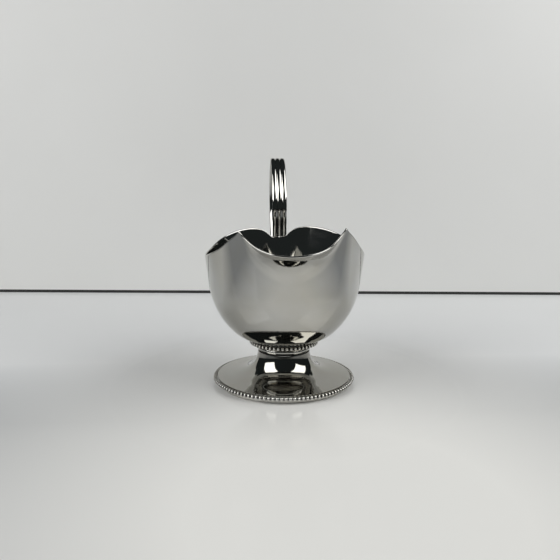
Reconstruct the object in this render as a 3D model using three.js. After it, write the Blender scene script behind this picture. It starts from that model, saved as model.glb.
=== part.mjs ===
// Silver cream jug: a raised bowl with a scalloped rim and a flared pouring lip, a loop
// handle of three reeds, a neck with a collar and a pearl wire, and a trumpet foot edged
// with a second pearl wire. Millimetres, +Z up, lip towards -Y, handle towards +Y.
import * as THREE from 'three';

// Bowl: a ball that runs on into a straight wall leaning outwards.
const BALL_RADIUS = 36.6;
const BALL_HEIGHT = 52.8;
const BALL_LOW_ANGLE = 47;
const WALL_ANGLE = 7.4;
const WALL_THICKNESS = 0.9;
const BOTTOM_RADIUS = 15.2;
const BOTTOM_HEIGHT = 21.75;
const BOWL_COLUMNS = 72;
const BALL_STEPS = 6;
const WALL_STEPS = [0.3, 0.55, 0.75, 0.87, 0.94, 1];

// Rim: [azimuth, height], azimuth 0 at the lip and 180 at the handle, pointed at the peak.
// It was raised by hand: the two peaks are turned a little, and the +X side stands higher.
const FRONT_RIM = [[0, 66.2], [11, 67.1], [21, 69.3], [29, 72.4], [35, 76.3]];
const BACK_RIM = [
  [35, 76.3], [43, 72.4], [54, 67.9], [69, 64.4], [88, 62.6], [106, 64.7],
  [125, 69.1], [140, 72], [155, 73.5], [165, 72.8], [170, 71.2], [175, 68.3], [180, 68],
];
const PEAK_SLOPES = [0.95, -0.72];
const PEAK_TURN = 1.4;
const PEAK_LEAN = 1.05;
const RIM_LEAN = 1.4;

// Pouring lip: how far the wall curls outwards, how deep the curl is, and where it ends.
const LIP_REACH = 7.8;
const LIP_DEPTH = 11.4;
const LIP_END = 38;

// Handle: centre line in the Y-Z plane, from the rim over the top to the back of the bowl.
const HANDLE_LINE = [
  [38.9, 69.7], [38.9, 74], [38.8, 79], [38.4, 85], [39.5, 92], [43.4, 99.5], [49.4, 107],
  [56.6, 111.2], [64.4, 107.8], [70.3, 98.5], [72.3, 87.5], [70.6, 76], [65.2, 65.5],
  [56.5, 57.2], [46, 51.6], [39.5, 47.2], [37.1, 43],
];
const HANDLE_STEPS = 42;
const REED_PITCH = 2.58;
const REED_RADIUS = 1.9;
const REED_COUNT = 3;
const REED_POINTS = 4;
const BACK_POINTS = 6;
const HANDLE_THICKNESS = 2.4;
const HANDLE_SIDES_AT = 0.3;
const HANDLE_TAPER = 0.86;
const HANDLE_SIDE = 0.6;

// Neck: a convex collar under a flange that carries the upper pearl wire.
const COLLAR_PROFILE = [
  [12.2, 15.8], [12.85, 16.15], [13.15, 17], [12.95, 17.9], [12.2, 18.6], [12.2, 19],
  [14.8, 19.25], [15, 20.4], [14.6, 21.45],
];

// Foot: outer face from the stem to the edge, then the turned edge and the underside.
const FOOT_CURVE = [
  [12.8, 15.5], [13.35, 12.5], [15.2, 8.8], [18.2, 6.4], [22.5, 5], [28, 4.15], [32.75, 3.55],
];
const FOOT_STEPS = 12;
const FOOT_THICKNESS = 1;
const FOOT_EDGE = [[32.8, 3.3], [32.75, 2.9]];
const FOOT_SEGMENTS = 60;

// Base ring: the flat ring that stands on the table inside the lower pearl wire.
const BASE_OUTER = 32.5;
const BASE_INNER = 29.6;
const BASE_HEIGHT = 2.2;
const BASE_CHAMFER = 0.35;

// Pearl wires: [centre-line radius, height, pearl radius, pearl count].
const NECK_PEARLS = [16.2, 20.05, 0.93, 52];
const FOOT_PEARLS = [33.9, 2.45, 0.95, 112];
const PEARL_NECK = 0.5;
const PEARL_SIDES = 6;
const PEARL_STATIONS = 3;

const { degToRad, clamp, lerp, smoothstep } = THREE.MathUtils;

// Closed surface through equal rings of points, joined end to end or capped flat.
function skin(rings, joined) {
  const sides = rings[0].length;
  const points = rings.flat();
  const faces = [];
  const spans = joined ? rings.length : rings.length - 1;
  for (let i = 0; i < spans; i++) {
    const a = i * sides;
    const b = ((i + 1) % rings.length) * sides;
    for (let j = 0; j < sides; j++) {
      const k = (j + 1) % sides;
      faces.push(a + j, a + k, b + k, a + j, b + k, b + j);
    }
  }
  if (!joined) {
    const last = points.length - sides;
    const ends = [rings[0], rings[rings.length - 1]];
    const [low, high] = ends.map((ring) => points.push(middle(ring)) - 1);
    for (let j = 0; j < sides; j++) {
      const k = (j + 1) % sides;
      faces.push(low, k, j, high, last + j, last + k);
    }
  }
  const geometry = new THREE.BufferGeometry().setFromPoints(points);
  geometry.setIndex(faces);
  geometry.computeVertexNormals();
  return geometry;
}

function middle(ring) {
  const sum = ring.reduce((total, point) => total.add(point), new THREE.Vector3());
  return sum.divideScalar(ring.length);
}

// Body of revolution about Z from [radius, height] points in order round its outline.
function turned(outline, segments) {
  const points = outline.map(([radius, height]) => new THREE.Vector2(radius, height));
  return new THREE.LatheGeometry(points, segments).rotateX(Math.PI / 2);
}

// Value at x of the smooth curve through [x, y] points with the given end slopes.
function curveAt(points, x, startSlope, endSlope) {
  const end = points.length - 1;
  const slope = (i) => {
    if (i === 0) return startSlope;
    if (i === end) return endSlope;
    return (points[i + 1][1] - points[i - 1][1]) / (points[i + 1][0] - points[i - 1][0]);
  };
  const next = Math.max(1, points.findIndex((point) => point[0] >= x));
  const [x0, y0] = points[next - 1];
  const [x1, y1] = points[next];
  const span = x1 - x0;
  const t = (x - x0) / span;
  const rise = t * t * (3 - 2 * t);
  const out = t * (1 - t) * (1 - t) * slope(next - 1);
  const into = t * t * (1 - t) * slope(next);
  return y0 + (y1 - y0) * rise + (out - into) * span;
}

function rimHeight(azimuth) {
  const angle = Math.abs(azimuth);
  const peak = FRONT_RIM[FRONT_RIM.length - 1][0];
  const height = angle <= peak
    ? curveAt(FRONT_RIM, angle, 0, PEAK_SLOPES[0])
    : curveAt(BACK_RIM, angle, PEAK_SLOPES[1], 0);
  const lean = lerp(PEAK_LEAN * (1 - smoothstep(angle, 35, 75)), RIM_LEAN, smoothstep(angle, 90, 120));
  return height + lean * Math.sin(degToRad(azimuth));
}

// How far the lip has curled outwards at one azimuth, this far below the rim.
function curlOut(azimuth, below) {
  const share = Math.max(1 - (Math.abs(azimuth) / LIP_END) ** 3, 0.001);
  const rise = clamp(1 - below / (LIP_DEPTH * share), 0, 1);
  return LIP_REACH * share ** 4 * rise * rise;
}

// Outer face of the bowl at one azimuth, as points in the radial plane from bottom to rim.
function bowlProfile(azimuth) {
  const ballPoint = (degrees) => new THREE.Vector2(
    BALL_RADIUS * Math.cos(degToRad(degrees)),
    BALL_HEIGHT - BALL_RADIUS * Math.sin(degToRad(degrees)),
  );
  const start = new THREE.Vector2(BOTTOM_RADIUS, BOTTOM_HEIGHT);
  const low = ballPoint(BALL_LOW_ANGLE);
  const run = (low.y - BOTTOM_HEIGHT) * Math.tan(degToRad(BALL_LOW_ANGLE));
  const corner = new THREE.Vector2(low.x - run, BOTTOM_HEIGHT);
  const points = new THREE.QuadraticBezierCurve(start, corner, low).getPoints(3);
  for (let i = 1; i <= BALL_STEPS; i++) {
    points.push(ballPoint(lerp(BALL_LOW_ANGLE, WALL_ANGLE, i / BALL_STEPS)));
  }
  const foot = ballPoint(WALL_ANGLE);
  const rim = rimHeight(azimuth);
  for (const step of WALL_STEPS) {
    const height = lerp(foot.y, rim, step);
    const lean = (height - foot.y) * Math.tan(degToRad(WALL_ANGLE));
    points.push(new THREE.Vector2(foot.x + lean + curlOut(azimuth, rim - height), height));
  }
  return points;
}

// The same face set inwards by the wall's thickness, back down from the rim.
function insideOf(profile) {
  const inside = profile.map((point, i) => {
    const before = profile[Math.max(i - 1, 0)];
    const after = profile[Math.min(i + 1, profile.length - 1)];
    const along = after.clone().sub(before).normalize();
    return new THREE.Vector2(-along.y, along.x).multiplyScalar(WALL_THICKNESS).add(point);
  });
  return inside.reverse();
}

function bowl() {
  const columns = [];
  for (let i = 0; i < BOWL_COLUMNS; i++) {
    const turn = (i * 360) / BOWL_COLUMNS;
    const column = turn > 180 ? turn - 360 : turn;
    const outside = bowlProfile(column);
    const azimuth = column + PEAK_TURN * Math.sin(degToRad(2 * Math.min(Math.abs(column), 90)));
    const inside = insideOf(outside);
    const [before, edge] = outside.slice(-2);
    const along = edge.clone().sub(before).setLength(WALL_THICKNESS / 2);
    const crest = edge.clone().add(inside[0]).divideScalar(2).add(along);
    const across = [Math.sin(degToRad(azimuth)), -Math.cos(degToRad(azimuth))];
    columns.push([...outside, crest, ...inside].map(
      (point) => new THREE.Vector3(across[0] * point.x, across[1] * point.x, point.y),
    ));
  }
  const rings = columns[0].map((_, row) => columns.map((points) => points[row]));
  return skin(rings, false);
}

// Cross-section of the handle: [across, outwards] points round the reeds and the rounded back.
function handleSection() {
  const half = HANDLE_THICKNESS / 2;
  const reach = Math.asin(REED_PITCH / 2 / REED_RADIUS);
  const section = [];
  for (let reed = 0; reed < REED_COUNT; reed++) {
    const centre = (reed - (REED_COUNT - 1) / 2) * REED_PITCH;
    const first = reed === 0 ? 0 : 1;
    for (let i = first; i <= REED_POINTS; i++) {
      const angle = lerp(-reach, reach, i / REED_POINTS);
      const across = centre + REED_RADIUS * Math.sin(angle);
      section.push([across, half - REED_RADIUS * (1 - Math.cos(angle))]);
    }
  }
  const side = (REED_COUNT * REED_PITCH) / 2;
  for (let i = 0; i <= BACK_POINTS; i++) {
    const angle = (i * Math.PI) / BACK_POINTS;
    const depth = HANDLE_SIDES_AT - (half + HANDLE_SIDES_AT) * Math.sin(angle);
    section.push([side * Math.cos(angle), depth]);
  }
  return section;
}

function handle() {
  const line = new THREE.SplineCurve(HANDLE_LINE.map(([y, z]) => new THREE.Vector2(y, z)));
  const section = handleSection();
  const rings = [];
  for (let i = 0; i <= HANDLE_STEPS; i++) {
    const t = i / HANDLE_STEPS;
    const point = line.getPointAt(t);
    const along = line.getTangentAt(t);
    const narrow = lerp(1, HANDLE_TAPER, smoothstep(t, 0.3, 0.7));
    rings.push(section.map(([across, out]) => new THREE.Vector3(
      across * narrow + HANDLE_SIDE,
      point.x - along.y * out,
      point.y + along.x * out,
    )));
  }
  return skin(rings, false);
}

// Ring of pearls in one piece: round pearls joined by thin necks along a circle.
function pearlWire([radius, height, pearl, count]) {
  const stations = count * PEARL_STATIONS;
  const rings = [];
  for (let i = 0; i < stations; i++) {
    const angle = (i * 2 * Math.PI) / stations;
    const size = i % PEARL_STATIONS === 0 ? pearl * PEARL_NECK : pearl;
    const ring = [];
    for (let j = 0; j < PEARL_SIDES; j++) {
      const turn = (j * 2 * Math.PI) / PEARL_SIDES;
      const reach = radius - size * Math.cos(turn);
      const lift = height + size * Math.sin(turn);
      ring.push(new THREE.Vector3(reach * Math.cos(angle), reach * Math.sin(angle), lift));
    }
    rings.push(ring);
  }
  return skin(rings, true);
}

function collar() {
  const bottom = COLLAR_PROFILE[0][1];
  const top = COLLAR_PROFILE[COLLAR_PROFILE.length - 1][1];
  return turned([[0, bottom], ...COLLAR_PROFILE, [0, top]], FOOT_SEGMENTS);
}

function foot() {
  const curve = new THREE.SplineCurve(FOOT_CURVE.map(([r, z]) => new THREE.Vector2(r, z)));
  const outside = [];
  const underside = [];
  for (let i = 0; i <= FOOT_STEPS; i++) {
    const point = curve.getPointAt(i / FOOT_STEPS);
    const along = curve.getTangentAt(i / FOOT_STEPS);
    outside.push([point.x, point.y]);
    underside.unshift([point.x + along.y * FOOT_THICKNESS, point.y - along.x * FOOT_THICKNESS]);
  }
  const outline = [...outside, ...FOOT_EDGE, ...underside, outside[0]];
  return turned(outline.reverse(), FOOT_SEGMENTS);
}

function baseRing() {
  const outline = [
    [BASE_INNER + BASE_CHAMFER, 0], [BASE_OUTER - BASE_CHAMFER, 0], [BASE_OUTER, BASE_CHAMFER],
    [BASE_OUTER, BASE_HEIGHT], [BASE_INNER, BASE_HEIGHT], [BASE_INNER, BASE_CHAMFER],
    [BASE_INNER + BASE_CHAMFER, 0],
  ];
  return turned(outline, FOOT_SEGMENTS);
}

// Polished silver, a little duller and darker where pearls and edges trap tarnish.
function silver(color, roughness) {
  return new THREE.MeshStandardMaterial({ color, metalness: 1, roughness });
}

function named(name, geometry, material) {
  const mesh = new THREE.Mesh(geometry, material);
  mesh.name = name;
  return mesh;
}

const jug = new THREE.Group();
jug.add(
  named('bowl', bowl(), silver(0xc9c8c4, 0.06)),
  named('handle', handle(), silver(0xc6c5c1, 0.08)),
  named('neck_collar', collar(), silver(0xc4c2bd, 0.08)),
  named('neck_bead_wire', pearlWire(NECK_PEARLS), silver(0xb7b5ae, 0.16)),
  named('foot', foot(), silver(0xc6c4be, 0.07)),
  named('foot_bead_wire', pearlWire(FOOT_PEARLS), silver(0xb7b5ae, 0.16)),
  named('base_ring', baseRing(), silver(0xbab8b2, 0.2)),
);

// The origin is on the table, under the middle of the whole outline.
const outline = new THREE.Box3().setFromObject(jug);
jug.position.y = -(outline.min.y + outline.max.y) / 2;
jug.updateMatrixWorld(true);

export default jug;
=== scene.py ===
"""Silver cream jug on a glossy white table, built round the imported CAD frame.

Jug sizes are millimetres about the jug's own axis, as in the CAD source: azimuth 0 is the
pouring lip (-Y) and 180 the handle (+Y). Stage sizes are metres.
"""
import math

import bpy
import numpy as np
from mathutils import Matrix, Vector


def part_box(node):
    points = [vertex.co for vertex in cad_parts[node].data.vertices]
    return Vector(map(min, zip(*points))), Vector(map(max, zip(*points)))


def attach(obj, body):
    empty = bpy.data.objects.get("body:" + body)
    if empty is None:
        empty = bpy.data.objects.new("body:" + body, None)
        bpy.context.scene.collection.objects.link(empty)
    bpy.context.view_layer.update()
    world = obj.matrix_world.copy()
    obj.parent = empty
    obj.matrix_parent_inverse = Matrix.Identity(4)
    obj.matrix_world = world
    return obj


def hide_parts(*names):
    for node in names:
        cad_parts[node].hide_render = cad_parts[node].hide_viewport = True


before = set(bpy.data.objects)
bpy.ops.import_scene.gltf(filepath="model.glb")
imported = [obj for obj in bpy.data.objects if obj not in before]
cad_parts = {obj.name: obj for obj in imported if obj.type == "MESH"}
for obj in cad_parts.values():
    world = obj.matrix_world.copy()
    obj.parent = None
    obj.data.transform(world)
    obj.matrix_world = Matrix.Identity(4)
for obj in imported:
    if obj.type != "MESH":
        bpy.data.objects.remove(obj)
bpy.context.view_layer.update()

MM = 0.001
BASE_LOW, BASE_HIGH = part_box("base_ring")
AXIS = Vector(((BASE_LOW.x + BASE_HIGH.x) / 2, (BASE_LOW.y + BASE_HIGH.y) / 2, BASE_LOW.z))

# Bowl: a ball that runs on into a straight wall leaning outwards.
BALL_RADIUS = 36.6
BALL_HEIGHT = 52.8
BALL_LOW_ANGLE = 47
WALL_ANGLE = 7.4
WALL_THICKNESS = 0.9
BOTTOM_RADIUS = 15.2
BOTTOM_HEIGHT = 21.75
BOWL_COLUMNS = 360
BOTTOM_STEPS = 8
BALL_STEPS = 20
WALL_STEPS = 26
CREST_STEPS = 6
FLOOR_STEPS = 6

# Rim: (azimuth, height), pointed at the two peaks beside the lip.
FRONT_RIM = [(0, 66.2), (11, 67.1), (21, 69.3), (29, 72.4), (35, 76.3)]
BACK_RIM = [(35, 76.3), (43, 72.4), (54, 67.9), (69, 64.4), (88, 62.6), (106, 64.7), (125, 69.1),
            (140, 72), (155, 73.5), (165, 72.8), (170, 71.2), (175, 68.3), (180, 68)]
PEAK_SLOPES = (0.95, -0.72)
PEAK_TURN = 1.4
PEAK_LEAN = 1.05
RIM_LEAN = 1.4

# Pouring lip: how far the wall curls outwards, how deep the curl is, and where it ends.
LIP_REACH = 7.8
LIP_DEPTH = 11.4
LIP_END = 38

# Handle: centre line in the Y-Z plane, and a section of reeds on a gently rounded back.
HANDLE_LINE = [(38.9, 69.7), (38.9, 74), (38.8, 79), (38.4, 85), (39.5, 92), (43.4, 99.5),
               (49.4, 107), (56.6, 111.2), (64.4, 107.8), (70.3, 98.5), (72.3, 87.5), (70.6, 76),
               (65.2, 65.5), (56.5, 57.2), (46, 51.6), (39.5, 47.2), (37.1, 43)]
HANDLE_STEPS = 260
REED_PITCH = 2.58
REED_RADIUS = 1.9
REED_COUNT = 3
REED_POINTS = 12
BACK_POINTS = 24
HANDLE_THICKNESS = 2.4
HANDLE_SIDES_AT = 0.3
HANDLE_TAPER = 0.86
TAPER_SPAN = (0.3, 0.7)
HANDLE_SIDE = 0.6
SOLDER_REACH = 1.0
LOWER_REACH = 0.2

# Neck, foot and base ring: outlines as (radius, height).
COLLAR_BULGE = [(12.2, 15.8), (12.85, 16.15), (13.15, 17), (12.95, 17.9), (12.2, 18.6)]
COLLAR_FLANGE = [(12.2, 19), (14.8, 19.25), (15, 20.4), (14.6, 21.45)]
FOOT_CURVE = [(12.8, 15.5), (13.35, 12.5), (15.2, 8.8), (18.2, 6.4), (22.5, 5), (28, 4.15),
              (32.75, 3.55)]
FOOT_STEPS = 60
FOOT_THICKNESS = 1
FOOT_EDGE = [(32.8, 3.3), (32.75, 2.9)]
BASE_OUTER = 32.5
BASE_INNER = 29.6
BASE_HEIGHT = 2.2
BASE_CHAMFER = 0.35
TURNED_SEGMENTS = 288

# Pearl wires: centre-line radius, height, pearl radius, pearl count.
NECK_PEARLS = (16.2, 20.05, 0.93, 52)
FOOT_PEARLS = (33.9, 2.45, 0.95, 112)
PEARL_CORE = 0.45
PEARL_RINGS = 9
PEARL_SIDES = 14

# Stage, seen from the front: everything is squared to the camera, not to the jug.
FOCAL_PIXELS = 540
IMAGE_PIXELS = 560
SENSOR_WIDTH = 36
CAMERA_YAW = math.radians(4.64)
CAMERA_PITCH = math.radians(8.78)
CAMERA_ROLL = math.radians(0.296)
CAMERA_DISTANCE = 0.26013
CAMERA_HEIGHT = 0.09048
CAMERA_SIDE = 0.00207
WALL_BEHIND = 0.242
WALL_SIDES = (-0.32, 0.38)
WALL_HEIGHT = 0.275
TABLE_SIDES = (-0.7, 0.7)
TABLE_FRONT = 0.215
FLOOR_HALF_WIDTH = 1.6
FLOOR_DROP = 0.03
# Height of the near-black strip painted as the shadow line at the foot of the wall.
SEAM_HEIGHT = 0.0026
SOFTBOXES = {"softbox_left": (-61, 37.5, 0.75, 0.55), "softbox_right": (72, 43, 0.75, 0.58)}
SOFTBOX_RADIANCE = 2.6
ROOM_RADIANCE = 0.027

# Table top: a painted pool of light in front of the jug, painted shade at the sides, gloss only
# near the jug.
PAINTED_LIGHT_MIDDLE = (0.02, -0.11, 0)
PAINTED_LIGHT_SPREAD = (0.05, 0.2)
PAINTED_LIGHT_COLOUR = (0.9, 0.895, 0.86)
PAINTED_SHADE_COLOUR = (0.37, 0.385, 0.4)
BEHIND_COLOUR = (0.8, 0.81, 0.81)
BEHIND_SPREAD = (-0.06, 0.02)
GLOSS_LEVELS = (0.5, 0.02)
GLOSS_SPREAD = (0.055, 0.085)


def lerp(a, b, t):
    return a + (b - a) * t


def smoothstep(x, low, high):
    t = min(1, max(0, (x - low) / (high - low)))
    return t * t * (3 - 2 * t)


def curve_at(points, x, start_slope, end_slope):
    """Value at x of the smooth curve through the points with the given end slopes."""
    def slope(i):
        if i == 0:
            return start_slope
        if i == len(points) - 1:
            return end_slope
        (x0, y0), (x1, y1) = points[i - 1], points[i + 1]
        return (y1 - y0) / (x1 - x0)

    index = next((i for i, point in enumerate(points) if i and point[0] >= x), len(points) - 1)
    (x0, y0), (x1, y1) = points[index - 1], points[index]
    span = x1 - x0
    t = (x - x0) / span
    into = t * t * (1 - t) * slope(index)
    out = t * (1 - t) ** 2 * slope(index - 1)
    return y0 + (y1 - y0) * t * t * (3 - 2 * t) + (out - into) * span


def spline(points, steps):
    """Evenly spaced points and unit tangents along the smooth curve through the points."""
    knots = np.array(points, float)
    knots = np.vstack([knots[0], knots, knots[-1]])
    t = np.linspace(0, 1, 40, endpoint=False)[:, None]
    dense = []
    for p0, p1, p2, p3 in zip(knots, knots[1:], knots[2:], knots[3:]):
        v0, v1 = (p2 - p0) / 2, (p3 - p1) / 2
        dense.append((2 * p1 - 2 * p2 + v0 + v1) * t**3 + (3 * p2 - 3 * p1 - 2 * v0 - v1) * t**2
                     + v0 * t + p1)
    dense = np.vstack(dense + [knots[-1:]])
    travel = np.append(0, np.cumsum(np.linalg.norm(np.diff(dense, axis=0), axis=1)))
    even = np.linspace(0, travel[-1], steps + 1)
    line = np.stack([np.interp(even, travel, dense[:, k]) for k in (0, 1)], 1)
    along = np.gradient(line, axis=0)
    return line, along / np.linalg.norm(along, axis=1)[:, None]


def sideways(along):
    """Unit vectors a quarter turn to the left of these 2-D directions."""
    return np.stack([-along[:, 1], along[:, 0]], 1)


def make_piece(name, points, faces, sharp_angle, tarnish_and_shade=None):
    """A mesh object from points in millimetres about the jug's axis."""
    mesh = bpy.data.meshes.new(name)
    placed = np.asarray(points, float) * MM + np.array(AXIS)
    mesh.from_pydata(placed.tolist(), [], faces)
    mesh.shade_smooth()
    mesh.set_sharp_from_angle(angle=math.radians(sharp_angle))
    shade = mesh.attributes.new("tarnish_and_shade", "FLOAT", "POINT")
    shade.data.foreach_set("value", np.zeros(len(placed)) if tarnish_and_shade is None else tarnish_and_shade)
    piece = bpy.data.objects.new(name, mesh)
    bpy.context.scene.collection.objects.link(piece)
    return piece


def skin_faces(rings, sides, joined, first=0):
    """Quads through equal rings of points; open ends are closed by the points after them."""
    faces = []
    for i in range(rings if joined else rings - 1):
        a = first + i * sides
        b = first + (i + 1) % rings * sides
        for j in range(sides):
            k = (j + 1) % sides
            faces.append((a + j, a + k, b + k, b + j))
    return faces


def skin(name, rings, sharp_angle, joined=False, tarnish_and_shade=None):
    """Closed surface through rings of points, joined end to end or closed by middle points."""
    rings = np.asarray(rings, float)
    count, sides = rings.shape[:2]
    points = rings.reshape(-1, 3)
    faces = skin_faces(count, sides, joined)
    shade = np.zeros(len(points)) if tarnish_and_shade is None else np.asarray(tarnish_and_shade, float).ravel()
    if not joined:
        last = (count - 1) * sides
        low = len(points)
        points = np.vstack([points, rings[0].mean(0), rings[-1].mean(0)])
        shade = np.append(shade, [shade[0], shade[-1]])
        for j in range(sides):
            k = (j + 1) % sides
            faces += [(low, k, j), (low + 1, last + j, last + k)]
    return make_piece(name, points, faces, sharp_angle, shade)


def turned(name, outline, sharp_angle, tarnish_and_shade=None):
    """Body of revolution from (radius, height) points running clockwise round its outline."""
    outline = np.asarray(outline, float)
    angles = np.linspace(0, 2 * np.pi, TURNED_SEGMENTS, endpoint=False)
    rings = [np.stack([np.sin(a) * outline[:, 0], -np.cos(a) * outline[:, 0], outline[:, 1]], 1)
             for a in angles]
    shade = None if tarnish_and_shade is None else np.tile(tarnish_and_shade, (TURNED_SEGMENTS, 1))
    return skin(name, rings, sharp_angle, joined=True, tarnish_and_shade=shade)


# Bowl

def rim_height(azimuth):
    angle = abs(azimuth)
    if angle <= FRONT_RIM[-1][0]:
        height = curve_at(FRONT_RIM, angle, 0, PEAK_SLOPES[0])
    else:
        height = curve_at(BACK_RIM, angle, PEAK_SLOPES[1], 0)
    lean = lerp(PEAK_LEAN * (1 - smoothstep(angle, 35, 75)), RIM_LEAN, smoothstep(angle, 90, 120))
    return height + lean * math.sin(math.radians(azimuth))


def ball_point(degrees):
    angle = math.radians(degrees)
    return BALL_RADIUS * math.cos(angle), BALL_HEIGHT - BALL_RADIUS * math.sin(angle)


def curl_out(azimuth, below):
    """How far the lip has curled outwards at one azimuth, this far below the rim."""
    share = max(1 - (abs(azimuth) / LIP_END) ** 3, 0.001)
    rise = min(1, max(0, 1 - below / (LIP_DEPTH * share)))
    return LIP_REACH * share ** 4 * rise * rise


def bowl_profile(azimuth):
    """Outer face at one azimuth, as (radius, height) points from the bottom to the rim."""
    low = ball_point(BALL_LOW_ANGLE)
    corner = low[0] - (low[1] - BOTTOM_HEIGHT) * math.tan(math.radians(BALL_LOW_ANGLE))
    points = []
    for i in range(BOTTOM_STEPS):
        t = i / BOTTOM_STEPS
        radius = lerp(lerp(BOTTOM_RADIUS, corner, t), lerp(corner, low[0], t), t)
        points.append((radius, lerp(BOTTOM_HEIGHT, lerp(BOTTOM_HEIGHT, low[1], t), t)))
    for i in range(BALL_STEPS + 1):
        points.append(ball_point(lerp(BALL_LOW_ANGLE, WALL_ANGLE, i / BALL_STEPS)))
    foot = points[-1]
    rim = rim_height(azimuth)
    for i in range(1, WALL_STEPS + 1):
        height = lerp(foot[1], rim, 1 - (1 - i / WALL_STEPS) ** 1.5)
        lean = (height - foot[1]) * math.tan(math.radians(WALL_ANGLE))
        points.append((foot[0] + lean + curl_out(azimuth, rim - height), height))
    return np.array(points)


def bowl_outline(azimuth):
    """Outer face, rounded rim, inner face and inner floor at one azimuth."""
    outside = bowl_profile(azimuth)
    along = np.gradient(outside, axis=0)
    along /= np.linalg.norm(along, axis=1)[:, None]
    along[0] = (1, 0)
    inwards = sideways(along)
    inside = outside + inwards * WALL_THICKNESS
    middle = (outside[-1] + inside[-1]) / 2
    crest = []
    for i in range(1, CREST_STEPS):
        angle = math.pi * i / CREST_STEPS
        swing = along[-1] * math.sin(angle) - inwards[-1] * math.cos(angle)
        crest.append(middle + swing * WALL_THICKNESS / 2)
    floor = [inside[0] * (1 - i / FLOOR_STEPS, 1) for i in range(1, FLOOR_STEPS)]
    return np.vstack([outside, crest, inside[::-1], floor])


def bowl():
    columns = []
    for i in range(BOWL_COLUMNS):
        column = i * 360 / BOWL_COLUMNS
        column -= 360 if column > 180 else 0
        outline = bowl_outline(column)
        azimuth = column + PEAK_TURN * math.sin(math.radians(2 * min(abs(column), 90)))
        across = math.sin(math.radians(azimuth)), -math.cos(math.radians(azimuth))
        columns.append(np.column_stack([outline[:, 0] * across[0], outline[:, 0] * across[1],
                                        outline[:, 1]]))
    return skin("bowl_shell", np.array(columns).transpose(1, 0, 2), 50)


# Handle

def handle_section():
    """(across, outwards, tarnish and painted shade) points round the reeds and the rounded back.
    """
    half = HANDLE_THICKNESS / 2
    reach = math.asin(REED_PITCH / 2 / REED_RADIUS)
    section = []
    for reed in range(REED_COUNT):
        centre = (reed - (REED_COUNT - 1) / 2) * REED_PITCH
        for i in range(0 if reed == 0 else 1, REED_POINTS + 1):
            angle = lerp(-reach, reach, i / REED_POINTS)
            depth = REED_RADIUS * (1 - math.cos(angle))
            section.append((centre + REED_RADIUS * math.sin(angle), half - depth, depth))
    side = REED_COUNT * REED_PITCH / 2
    for i in range(BACK_POINTS + 1):
        angle = i / BACK_POINTS * math.pi
        depth = HANDLE_SIDES_AT - (half + HANDLE_SIDES_AT) * math.sin(angle)
        section.append((side * math.cos(angle), depth, 0))
    return np.array(section)


def handle():
    line, along = spline(HANDLE_LINE, HANDLE_STEPS)
    line[0] -= along[0] * SOLDER_REACH
    line[-1] += along[-1] * LOWER_REACH
    out = sideways(along)
    section = handle_section()
    rings = []
    for i, (point, outwards) in enumerate(zip(line, out)):
        narrow = lerp(1, HANDLE_TAPER, smoothstep(i / HANDLE_STEPS, *TAPER_SPAN))
        plane = point + outwards * section[:, 1:2]
        rings.append(np.column_stack([section[:, 0] * narrow + HANDLE_SIDE, plane]))
    # Tarnish and painted shade: the grooves between the reeds are darkened.
    groove = np.clip(section[:, 2] / REED_RADIUS, 0, 1)
    return skin("handle_reeded", rings, 45, tarnish_and_shade=np.tile(groove, (len(rings), 1)))


# Pearl wires

def pearl_wire(name, radius, height, pearl, count):
    """Round pearls strung on a thin core, with tarnish and painted shade in the gaps between
    them.
    """
    points, faces, shade = [], [], []
    for n in range(count):
        turn = n * 2 * math.pi / count
        first = len(points)
        outwards = np.array([math.cos(turn), math.sin(turn), 0])
        along = np.array([-math.sin(turn), math.cos(turn), 0])
        middle = outwards * radius + np.array([0, 0, height])
        for i in range(1, PEARL_RINGS):
            lift = math.pi * i / PEARL_RINGS
            for j in range(PEARL_SIDES):
                side = 2 * math.pi * j / PEARL_SIDES
                ring = outwards * math.cos(side) + np.array([0, 0, math.sin(side)])
                points.append(middle + pearl * (ring * math.sin(lift) - along * math.cos(lift)))
                # Tarnish and painted shade: darker towards the ends where neighbouring pearls
                # meet.
                shade.append(abs(math.cos(lift)) ** 2)
        faces += skin_faces(PEARL_RINGS - 1, PEARL_SIDES, False, first)
        last = first + (PEARL_RINGS - 2) * PEARL_SIDES
        start = len(points)
        points += [middle - along * pearl, middle + along * pearl]
        shade += [1, 1]
        for j in range(PEARL_SIDES):
            k = (j + 1) % PEARL_SIDES
            faces += [(start, first + k, first + j), (start + 1, last + j, last + k)]
    first = len(points)
    stations = count * 2
    for n in range(stations):
        turn = n * 2 * math.pi / stations
        for j in range(8):
            side = 2 * math.pi * j / 8
            reach = radius + pearl * PEARL_CORE * math.cos(side)
            points.append((reach * math.cos(turn), reach * math.sin(turn),
                           height + pearl * PEARL_CORE * math.sin(side)))
            # The core between the pearls is fully darkened: tarnish and painted shade.
            shade.append(1)
    faces += skin_faces(stations, 8, True, first)
    return make_piece(name, points, faces, 60, shade)


# Neck, foot and base

def collar():
    bulge, _ = spline(COLLAR_BULGE, 16)
    flange = np.array(COLLAR_FLANGE)
    outline = np.vstack([[(0.4, COLLAR_BULGE[0][1])], bulge, flange, [(0.4, flange[-1][1])]])
    return turned("neck_collar_ring", outline, 35)


def foot():
    outside, along = spline(FOOT_CURVE, FOOT_STEPS)
    underside = (outside - sideways(along) * FOOT_THICKNESS)[::-1]
    outline = np.vstack([outside, FOOT_EDGE, underside])
    return turned("foot_trumpet", outline[::-1], 35)


def base_ring():
    outline = [(BASE_INNER + BASE_CHAMFER, 0), (BASE_OUTER - BASE_CHAMFER, 0),
               (BASE_OUTER, BASE_CHAMFER), (BASE_OUTER, BASE_HEIGHT), (BASE_INNER, BASE_HEIGHT),
               (BASE_INNER, BASE_CHAMFER)]
    return turned("base_ring_band", outline, 35)


# Materials

def node_kit(name):
    material = bpy.data.materials.new(name)
    material.use_nodes = True
    nodes, links = material.node_tree.nodes, material.node_tree.links
    return material, nodes, links, nodes["Principled BSDF"]


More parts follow.
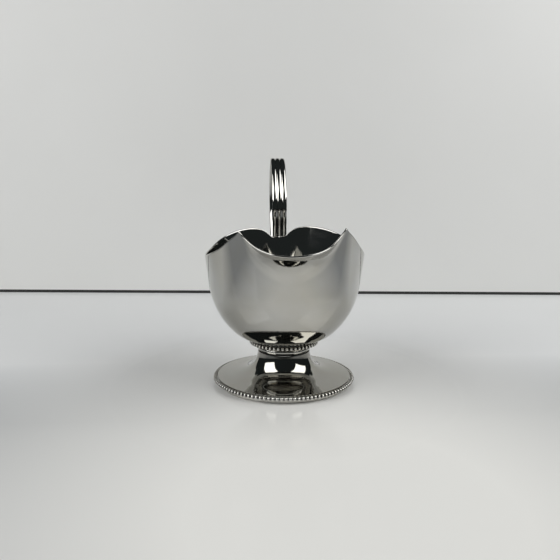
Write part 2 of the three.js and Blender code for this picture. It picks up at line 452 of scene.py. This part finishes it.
def noise(nodes, links, where, scale, detail=3.0, roughness=0.55, stretch=None):
    texture = nodes.new("ShaderNodeTexNoise")
    texture.inputs["Scale"].default_value = scale
    texture.inputs["Detail"].default_value = detail
    texture.inputs["Roughness"].default_value = roughness
    source = where
    if stretch:
        mapping = nodes.new("ShaderNodeMapping")
        mapping.inputs["Scale"].default_value = stretch
        links.new(where, mapping.inputs["Vector"])
        source = mapping.outputs["Vector"]
    links.new(source, texture.inputs["Vector"])
    return texture.outputs["Fac"]


def spread(nodes, links, value, low, high, from_low=0.3, from_high=0.7):
    ranged = nodes.new("ShaderNodeMapRange")
    ranged.inputs["From Min"].default_value = from_low
    ranged.inputs["From Max"].default_value = from_high
    ranged.inputs["To Min"].default_value = low
    ranged.inputs["To Max"].default_value = high
    links.new(value, ranged.inputs["Value"])
    return ranged.outputs["Result"]


def mixed(nodes, links, factor, first, second):
    mix = nodes.new("ShaderNodeMix")
    mix.data_type = "RGBA"
    links.new(factor, mix.inputs["Factor"])
    for socket, colour in (("A", first), ("B", second)):
        target = next(s for s in mix.inputs if s.name == socket and s.type == "RGBA")
        if isinstance(colour, tuple):
            target.default_value = (*colour, 1)
        else:
            links.new(colour, target)
    return next(s for s in mix.outputs if s.type == "RGBA")


def silver(name, bright, roughness, ripple=0.3, tarnish_and_shade=0.0):
    """Polished silver: faint toning, wiped smears, fine scratches and a hand-worked ripple."""
    material, nodes, links, shader = node_kit(name)
    shader.inputs["Metallic"].default_value = 1
    place = nodes.new("ShaderNodeTexCoord").outputs["Object"]
    toned = tuple(c * k for c, k in zip(bright, (0.93, 0.91, 0.86)))
    cloud = spread(nodes, links, noise(nodes, links, place, 55), 0, 1)
    colour = mixed(nodes, links, cloud, bright, toned)
    if tarnish_and_shade:
        # Darkening read from the mesh attribute: tarnish and painted shade in gaps and grooves.
        crevice = nodes.new("ShaderNodeAttribute")
        crevice.attribute_name = "tarnish_and_shade"
        shade = spread(nodes, links, crevice.outputs["Fac"], 0, tarnish_and_shade, 0.1, 0.5)
        colour = mixed(nodes, links, shade, colour, (0.03, 0.028, 0.025))
    links.new(colour, shader.inputs["Base Color"])
    smear = noise(nodes, links, place, 90, 4, stretch=(1, 1, 3.5))
    wiped = spread(nodes, links, smear, roughness * 0.7, roughness * 1.6)
    links.new(wiped, shader.inputs["Roughness"])
    wave = nodes.new("ShaderNodeBump")
    wave.inputs["Strength"].default_value = ripple
    wave.inputs["Distance"].default_value = 0.0002
    links.new(noise(nodes, links, place, 38, 1), wave.inputs["Height"])
    scratch = nodes.new("ShaderNodeBump")
    scratch.inputs["Strength"].default_value = 0.05
    scratch.inputs["Distance"].default_value = 0.00002
    links.new(noise(nodes, links, place, 900, 4, stretch=(1, 1, 6)), scratch.inputs["Height"])
    links.new(wave.outputs["Normal"], scratch.inputs["Normal"])
    links.new(scratch.outputs["Normal"], shader.inputs["Normal"])
    return material


def painted(name, light, dark, roughness, scale):
    """Plain pale stage surface with a faint cloudiness."""
    material, nodes, links, shader = node_kit(name)
    place = nodes.new("ShaderNodeTexCoord").outputs["Object"]
    cloud = spread(nodes, links, noise(nodes, links, place, scale), 0, 1)
    links.new(mixed(nodes, links, cloud, light, dark), shader.inputs["Base Color"])
    shader.inputs["Roughness"].default_value = roughness
    return material


def glossy_table():
    """White table top, painted light and shade; gloss fades away from the jug to keep glare off
    the bowl.
    """
    material, nodes, links, shader = node_kit("table_painted_light_and_shade")
    place = nodes.new("ShaderNodeTexCoord").outputs["Object"]
    reach = nodes.new("ShaderNodeVectorMath")
    reach.operation = "DISTANCE"
    reach.inputs[1].default_value = staged(*PAINTED_LIGHT_MIDDLE)
    links.new(place, reach.inputs[0])
    # Painted light: the table colour is a bright pool in front of the jug, fading out with
    # distance.
    painted_light_mask = spread(nodes, links, reach.outputs["Value"], 0, 1, *PAINTED_LIGHT_SPREAD)
    split = nodes.new("ShaderNodeSeparateXYZ")
    links.new(place, split.inputs["Vector"])
    behind = spread(nodes, links, split.outputs["Y"], 0, 1, *BEHIND_SPREAD)
    # Painted shade: outside the pool the table colour is darker in front of the jug than behind
    # it.
    sides = mixed(nodes, links, behind, PAINTED_SHADE_COLOUR, BEHIND_COLOUR)
    colour = mixed(nodes, links, painted_light_mask, PAINTED_LIGHT_COLOUR, sides)
    links.new(colour, shader.inputs["Base Color"])
    near = nodes.new("ShaderNodeVectorMath")
    near.operation = "DISTANCE"
    near.inputs[1].default_value = staged(0, 0, 0)
    links.new(place, near.inputs[0])
    gloss = spread(nodes, links, near.outputs["Value"], *GLOSS_LEVELS, *GLOSS_SPREAD)
    links.new(gloss, shader.inputs["Specular IOR Level"])
    shader.inputs["Roughness"].default_value = 0.1
    shader.inputs["IOR"].default_value = 1.4
    return material


# Stage

STAGE_TURN = Matrix.Rotation(-CAMERA_YAW, 4, "Z")


def staged(side, away, height):
    """Row-frame point from camera-squared distances: right, away from the camera, up."""
    return AXIS + STAGE_TURN @ Vector((side, away, height))


def panel(name, corners, material):
    mesh = bpy.data.meshes.new(name)
    mesh.from_pydata([staged(*corner) for corner in corners], [], [tuple(range(len(corners)))])
    mesh.materials.append(material)
    item = bpy.data.objects.new(name, mesh)
    bpy.context.scene.collection.objects.link(item)
    return item


def level(name, sides, front, back, height, material):
    """Flat level panel between two sides, a front and a back."""
    low, high = sides
    return panel(name, [(low, front, height), (high, front, height), (high, back, height),
                        (low, back, height)], material)


def upright(name, sides, away, bottom, top, material):
    """Flat upright panel facing the camera."""
    low, high = sides
    return panel(name, [(low, away, bottom), (high, away, bottom), (high, away, top),
                        (low, away, top)], material)


def build_stage():
    wall = painted("wall_grey", (0.86, 0.86, 0.84), (0.82, 0.82, 0.80), 0.6, 4)
    # Painted shadow: a near-black strip along the foot of the wall stands in for the shadow line.
    dark = painted("seam_painted_shadow", (0.03, 0.03, 0.028), (0.02, 0.02, 0.02), 0.7, 40)
    floor = painted("floor_grey", (0.14, 0.135, 0.13), (0.12, 0.12, 0.115), 0.7, 3)
    level("table", TABLE_SIDES, -TABLE_FRONT, WALL_BEHIND, 0, glossy_table())
    upright("wall", WALL_SIDES, WALL_BEHIND, SEAM_HEIGHT, WALL_HEIGHT, wall)
    upright("seam", TABLE_SIDES, WALL_BEHIND, -0.001, SEAM_HEIGHT, dark)
    wide = (-FLOOR_HALF_WIDTH, FLOOR_HALF_WIDTH)
    level("floor", wide, -FLOOR_HALF_WIDTH, FLOOR_HALF_WIDTH, -FLOOR_DROP, floor)


def build_softbox(name, azimuth, elevation, distance, size):
    """Square soft light turned to the jug's foot; azimuth 0 is towards the camera."""
    turn, rise = math.radians(azimuth), math.radians(elevation)
    away = Vector((math.sin(turn) * math.cos(rise), -math.cos(turn) * math.cos(rise),
                   math.sin(rise)))
    light = bpy.data.lights.new(name, "AREA")
    light.shape = "SQUARE"
    light.size = size
    light.energy = SOFTBOX_RADIANCE * 4 * size * size
    item = bpy.data.objects.new(name, light)
    bpy.context.scene.collection.objects.link(item)
    item.location = staged(*(away * distance))
    item.rotation_euler = (STAGE_TURN @ -away).to_track_quat("-Z", "Y").to_euler()


def build_room():
    world = bpy.data.worlds.new("dark_room")
    world.use_nodes = True
    backdrop = world.node_tree.nodes["Background"]
    backdrop.inputs["Color"].default_value = (0.82, 0.97, 1, 1)
    backdrop.inputs["Strength"].default_value = ROOM_RADIANCE
    bpy.context.scene.world = world
    bpy.context.scene.view_settings.view_transform = "Standard"


def build_camera():
    data = bpy.data.cameras.new("camera")
    data.sensor_width = SENSOR_WIDTH
    data.lens = SENSOR_WIDTH * FOCAL_PIXELS / IMAGE_PIXELS
    camera = bpy.data.objects.new("camera", data)
    bpy.context.scene.collection.objects.link(camera)
    tilt = Matrix.Rotation(math.pi / 2 - CAMERA_PITCH, 4, "X")
    roll = Matrix.Rotation(CAMERA_ROLL, 4, "Z")
    place = Matrix.Translation(staged(-CAMERA_SIDE, -CAMERA_DISTANCE, CAMERA_HEIGHT))
    camera.matrix_world = place @ STAGE_TURN @ tilt @ roll
    data.clip_start = 0.01
    bpy.context.scene.camera = camera


def add_piece(piece, node, material):
    piece.data.materials.append(material)
    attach(piece, "root")
    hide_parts(node)


SILVER = (0.53, 0.527, 0.51)
polished = silver("silver_polished", SILVER, 0.045)
raised = silver("silver_raised", (0.37, 0.365, 0.342), 0.05)
reeded = silver("silver_reeded", SILVER, 0.05, ripple=0.12, tarnish_and_shade=0.15)
pearled = silver("silver_pearled", (0.74, 0.735, 0.71), 0.05, ripple=0.05, tarnish_and_shade=1.0)
satin = silver("silver_satin", (0.7, 0.69, 0.66), 0.3, ripple=0.2)

add_piece(bowl(), "bowl", polished)
add_piece(handle(), "handle", reeded)
add_piece(collar(), "neck_collar", polished)
add_piece(foot(), "foot", raised)
add_piece(pearl_wire("neck_pearls", *NECK_PEARLS), "neck_bead_wire", pearled)
add_piece(pearl_wire("foot_pearls", *FOOT_PEARLS), "foot_bead_wire", pearled)
add_piece(base_ring(), "base_ring", satin)

build_stage()
for softbox, place in SOFTBOXES.items():
    build_softbox(softbox, *place)
build_room()
build_camera()
